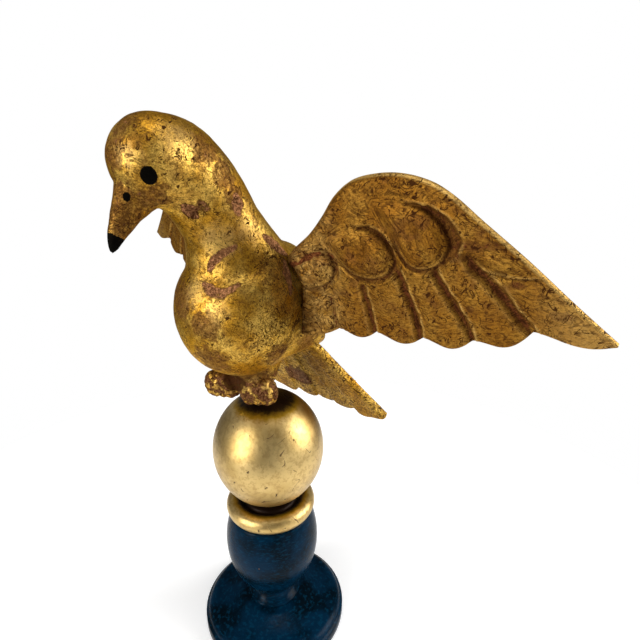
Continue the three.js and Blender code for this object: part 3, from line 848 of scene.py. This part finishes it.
# Bole also shows in patches, between a hollow and the leaf-shaped covert and near the tip: a place and
# a radius for each.
bole_patches = [((101, 122.5), 4.5), ((108, 123.5), 3.5), ((96, 118), 4), ((117, 111), 3), ((132, 103), 4)]


def spline(knots, steps):
    """A smooth line through knots, as a row of places."""
    knots = [np.array(knot, dtype=float) for knot in knots]
    return np.array([bend(knots, step / steps) for step in range(steps + 1)])


def ridge(value, middle, width):
    """A rounded ridge of height 1 where a value passes a middle."""
    return np.exp(-((value - middle) / width) ** 2)


def inside(points, loop):
    """Whether each point lies inside a closed line."""
    held = np.zeros(len(points), dtype=bool)
    for (x0, y0), (x1, y1) in zip(loop, np.roll(loop, -1, axis=0)):
        crosses = (y0 > points[:, 1]) != (y1 > points[:, 1])
        reach = x0 + (points[:, 1] - y0) * (x1 - x0) / (y1 - y0 + 1e-12)
        held ^= crosses & (points[:, 0] < reach)
    return held


leading = spline(leading_edge, 400)
starts, notches, hangs = [np.array(part, dtype=float) for part in zip(*feather_lines)]


def wing_grid(numbers, shares):
    """Places on the board for feather numbers (across) and shares of the way down (along)."""
    whole = np.minimum(numbers.astype(int), len(starts) - 2)
    part = numbers - whole
    start = starts[whole] + part * (starts[whole + 1] - starts[whole])
    top = np.stack([start, np.interp(start, leading[:, 0], leading[:, 1])], axis=-1)
    end = notches[whole] + part[..., None] * (notches[whole + 1] - notches[whole])
    end[..., 1] -= hangs[whole + 1] * np.sin(np.pi * part ** 1.5)
    return top + shares[..., None] * (end - top)


def wing_relief(flat, number, share):
    """The carving's height in millimetres, its marks of wear, of dirt and painted shade, and of burnish and
    painted highlight, and its grain.
    """
    part = number - np.floor(number)
    low_down = soft_step(share, 0.3, 0.62)
    height = low_down * (0.9 * np.sin(np.pi * part) ** 0.6 - 0.9 + 0.3 * (part - 0.5))
    at_root = soft_step(number, 1.7, 0.7)
    near_tip = soft_step(flat[:, 0], 118, 142)
    spots = np.column_stack([flat, np.zeros(len(flat))])
    uneven = lumps(spots, 4, 2)
    broken = np.clip(0.7 + 0.8 * uneven, 0.2, 1)
    worn = np.full(len(flat), 0.12)
    grime = 0.08 + 0.08 * at_root
    # The root is lightened with painted light against the body's shadow, and the tip is paler.
    crest = at_root * np.clip(0.26 + 0.3 * uneven, 0, 1) + 0.3 * near_tip
    for line in seams:
        left, _ = by_line(flat, spline(line, 20))
        worn = np.maximum(worn, 0.66 * soft_step(np.abs(left) + 0.8 * uneven, 1.6, 0.9))
    # The brush was drawn across the feathers in short curved strokes, and round the coverts.
    grain = np.stack([0.3 * flat[:, 0], flat[:, 1] + 2.5 * np.sin(np.pi * part), 0 * part], axis=1)
    leaf_loop = spline([*leaf_covert, leaf_covert[0]], 60)
    loops = [spline([*outline, outline[0]], 96) for outline, _, _, _ in coverts]
    within = [np.where(inside(flat, loop), 1, -1) * np.abs(by_line(flat, loop)[0])
              for loop in (*loops, leaf_loop)]
    clear = np.prod([soft_step(depth_in, 0.2, -0.8) for depth_in in within], axis=0)
    # A gouge cut is a trench with a sharp lip towards the tip and a soft one towards the root. The lips
    # carry painted highlights, and the trench shows bole and is darkened.
    for line, depth, half in gouge_cuts:
        left, along = by_line(flat, spline(line, 30))
        left = left + 0.4 * uneven
        ends = soft_step(along, 0, 0.12) * clear
        trench = ends * ridge(left, 0, half)
        lip = ends * ridge(left, half + 1.0, 0.5) * broken
        soft_lip = ends * ridge(left, -half - 1.1, 0.8)
        height += 0.4 * lip + 0.15 * soft_lip - 0.8 * depth * trench
        worn = np.maximum(worn, (0.5 + 0.08 * depth + 0.12 * uneven) * trench)
        grime = np.maximum(grime, (0.3 + 0.14 * depth + 0.35 * uneven) * trench ** 2)
        crest = np.maximum(crest, 0.5 * lip + 0.1 * soft_lip)
    # A round gouge left a crescent hollow between each covert and a raised lip. The hollow is darkened near
    # the covert, and the lip carries a painted highlight.
    for depth_in, (_, _, lip_line, depth) in zip(within, coverts):
        left, along = by_line(flat, spline(lip_line, 40))
        left = left + 0.4 * uneven
        out = np.maximum(-depth_in, 0)
        width = np.abs(left) + out
        across = out / np.maximum(width, 1e-6)
        ends = soft_step(along, 0, 0.25) * soft_step(along, 1, 0.8)
        hollow = (left < 0) * (depth_in < 0) * soft_step(width, 8.5, 6.5) * ends
        bowl = hollow * np.sin(np.pi * across ** 0.75) ** 0.8
        height += 0.35 * ends * ridge(left, 0, 0.6) - depth * bowl
        worn = np.maximum(worn, (0.5 + 0.15 * uneven) * (0.6 * hollow + 0.4 * bowl))
        grime = np.maximum(grime, (0.6 + 0.3 * uneven) * hollow * ridge(across, 0.2, 0.3))
        crest = np.maximum(crest, 0.3 * ends * ridge(left, 0.3, 0.5) * broken)
    # The coverts swell from a cut edge and run out softly towards the wing's root. They are darkened along
    # the cut edge and along a groove near their lower side, with a faint painted highlight just inside it.
    for loop, depth_in, (_, swell, _, _) in zip(loops, within, coverts):
        way = flat - loop.mean(axis=0)
        turn = np.arctan2(way[:, 1], way[:, 0])
        way = way / np.maximum(np.linalg.norm(way, axis=1), 1e-9)[:, None]
        edge = 1 - soft_step(way @ np.array((-0.8, 0.6)), 0.1, 0.9)
        lower = soft_step(way @ np.array((-0.1, -1.0)), 0.1, 0.7)
        height = np.where(depth_in > 0, np.maximum(height, -0.5), height)
        height += swell * soft_step(depth_in, -0.4, 4.2) * (0.55 + 0.45 * edge)
        height -= 0.8 * edge * ridge(depth_in, -0.5, 0.6) + 0.5 * lower * ridge(depth_in, 1.7, 0.45)
        worn = np.maximum(worn, 0.5 * edge * ridge(depth_in, -0.5, 0.9))
        grime = np.maximum(grime, 0.6 * edge * ridge(depth_in, -0.4, 0.5))
        grime = np.maximum(grime, 0.3 * lower * ridge(depth_in, 1.7, 0.5))
        crest = np.maximum(crest, 0.15 * lower * ridge(depth_in, 0.7, 0.5))
        round_the_edge = np.stack([3 * turn, depth_in, 0 * turn + 20], axis=1)
        grain = np.where((depth_in > -3)[:, None], round_the_edge, grain)
    # The leaf-shaped covert swells a little, and the last feather is stepped down along its line, with
    # painted shade below the step and a painted highlight on its edge.
    height += 0.8 * soft_step(within[-1], -0.3, 2.5)
    left, along = by_line(flat, spline(step_line, 30))
    ends = soft_step(along, 0, 0.15) * soft_step(along, 1.0, 0.85)
    height -= ends * (left < 0) * np.exp(-np.abs(left) / 5) * soft_step(-left, 0, 0.7)
    grime = np.maximum(grime, 0.55 * ends * ridge(left, -0.4, 0.5))
    crest = np.maximum(crest, 0.3 * ends * ridge(left, 0.4, 0.45))
    for middle, radius in bole_patches:
        patch = soft_step(np.linalg.norm((flat - middle) * (0.6, 1.3), axis=1), radius, 0.3 * radius)
        worn = np.maximum(worn, 0.46 * patch)
    # The gesso is lumpy near the root and slightly uneven elsewhere.
    height += 0.12 * uneven + 0.4 * at_root * lumps(spots, 1.8, 2)
    return height, worn, grime, crest, grain


def on_dove(flat, ahead, side):
    """Places on the dove for places on a wing's board, at depths ahead of its carved face."""
    outwards = flat[:, :1] * np.array(wing_along)
    upwards = flat[:, 1:] * np.array(wing_up)
    forward = (wing_offset + ahead)[:, None] * np.array(wing_front)
    return (np.array(place(0, 0, 0)) + 0.001 * (outwards + upwards + forward)) * (side, 1, 1)


def shoulder_line(shares, side):
    """The feather number at which each row of a wing's board stands clear of the shoulder."""
    trunk_tree = BVHTree.FromPolygons(
        [v.co for v in trunk_mesh.vertices], [p.vertices for p in trunk_mesh.polygons])
    tries = np.linspace(0, 1.5, 90)
    root = np.zeros(len(shares))
    for row, share in enumerate(shares):
        flat = wing_grid(tries, np.full(len(tries), share))
        for ahead in (0, -wing_root_thickness):
            spots = on_dove(flat, np.full(len(tries), ahead), side)
            for number, spot in zip(tries[::-1], spots[::-1]):
                near, normal, _, _ = trunk_tree.find_nearest(Vector(spot))
                if (Vector(spot) - near).dot(normal) < joint:
                    root[row] = max(root[row], number)
                    break
    return np.convolve(np.pad(root, 3, mode="edge"), np.ones(7) / 7, mode="valid")


def board_faces(columns, rows, side):
    """Faces of a closed board over two grids of points, the front's and then the back's."""
    total = columns * rows
    ids = np.arange(total).reshape(columns, rows)
    front = np.stack([ids[:-1, :-1], ids[1:, :-1], ids[1:, 1:], ids[:-1, 1:]], axis=-1).reshape(-1, 4)
    rim = np.concatenate([ids[:, 0], ids[-1, 1:], ids[-2::-1, -1], ids[0, -2:0:-1]])
    after = np.roll(rim, -1)
    strip = np.stack([rim, after, after + total, rim + total], axis=-1)
    faces = np.concatenate([front, (front + total)[:, ::-1], strip[:, ::-1]])
    return faces if side < 0 else faces[:, ::-1]


def rounded_off(distance, size):
    """How far a round edge of a size has turned in, at a distance from the outline."""
    return size * (1 - np.sqrt(1 - (1 - np.clip(distance / size, 0, 1)) ** 2))


def feather_board(name, side, finish):
    """One wing, on the left side for 1 and the right side for -1, carved in front and plain behind."""
    columns = 300
    rows = 120
    inner_columns = 225
    last = len(feather_lines) - 1
    inner = np.linspace(0, last - 1, inner_columns)
    outer = np.linspace(last - 1, last, columns - inner_columns + 1)[1:]
    spread = np.concatenate([inner, outer])
    down = np.linspace(0, 1, rows)
    shares = 0.55 * (0.5 - 0.5 * np.cos(np.pi * down ** 0.9)) + 0.45 * down
    root = shoulder_line(shares, side)
    number = (root + (spread / last)[:, None] * (last - root)).ravel()
    share = np.tile(shares, columns)
    flat = wing_grid(number, share)
    height, worn, grime, crest, grain = wing_relief(flat, number, share)
    from_top = np.abs(by_line(flat, leading)[0])
    plain = np.ones(len(flat))
    length = np.linalg.norm(wing_grid(number, plain) - wing_grid(number, 0 * plain), axis=1)
    from_end = (1 - share) * length
    outwards = (flat[:, 0] - wing_root) / (wing_span - wing_root)
    board = wing_root_thickness + outwards * (wing_tip_thickness - wing_root_thickness)
    board = board * (1 - 0.4 * share)
    turned_in = rounded_off(from_top, 0.5 * board) + rounded_off(from_end, 0.35 * board)
    fade = soft_step(from_top, 0, 3)
    back_dip = 0.2 * (1 - np.sin(np.pi * (number - np.floor(number)))) * share
    front = on_dove(flat, height * fade - turned_in, side)
    back = on_dove(flat, back_dip * fade - board + turned_in, side)
    wing = piece(name, np.concatenate([front, back]).tolist(), board_faces(columns, rows, side).tolist(),
                 finish, "left_wing" if side > 0 else "right_wing")
    # The upper edge has a painted highlight over a line of painted shade, and the leaf is worn along the
    # shoulder.
    worn = np.maximum(worn, 0.5 * ridge(number, root.mean(), 0.12))
    outer_part = soft_step(number, 0.6, 1.4)
    painted_rim_highlight = 0.7 * outer_part * soft_step(from_top, 1.3, 0.5)
    grime = np.maximum(grime, 0.45 * outer_part * ridge(from_top, 2.2, 0.5))
    crest = np.maximum(crest, painted_rim_highlight)
    carry(wing.data, worn=np.concatenate([worn, 0.2 * plain]), grime=np.concatenate([grime, 0.12 * plain]),
          crest=np.concatenate([crest, 0.5 * painted_rim_highlight]))
    carry_grain(wing.data, np.concatenate([grain, grain + 50]))


wing_gilding = old_gilding(
    "wing_gilding", leaf=(0.245, 0.103, 0.011, 1), leaf_light=(0.33, 0.165, 0.024, 1),
    dull=(0.135, 0.052, 0.014, 1), bole=(0.23, 0.07, 0.022, 1), dullness=0.7, least_rough=0.3, metal=0.7,
    flecks=0.4, brushing=0.7)
feather_board("wing_left", 1, wing_gilding)
feather_board("wing_right", -1, wing_gilding)
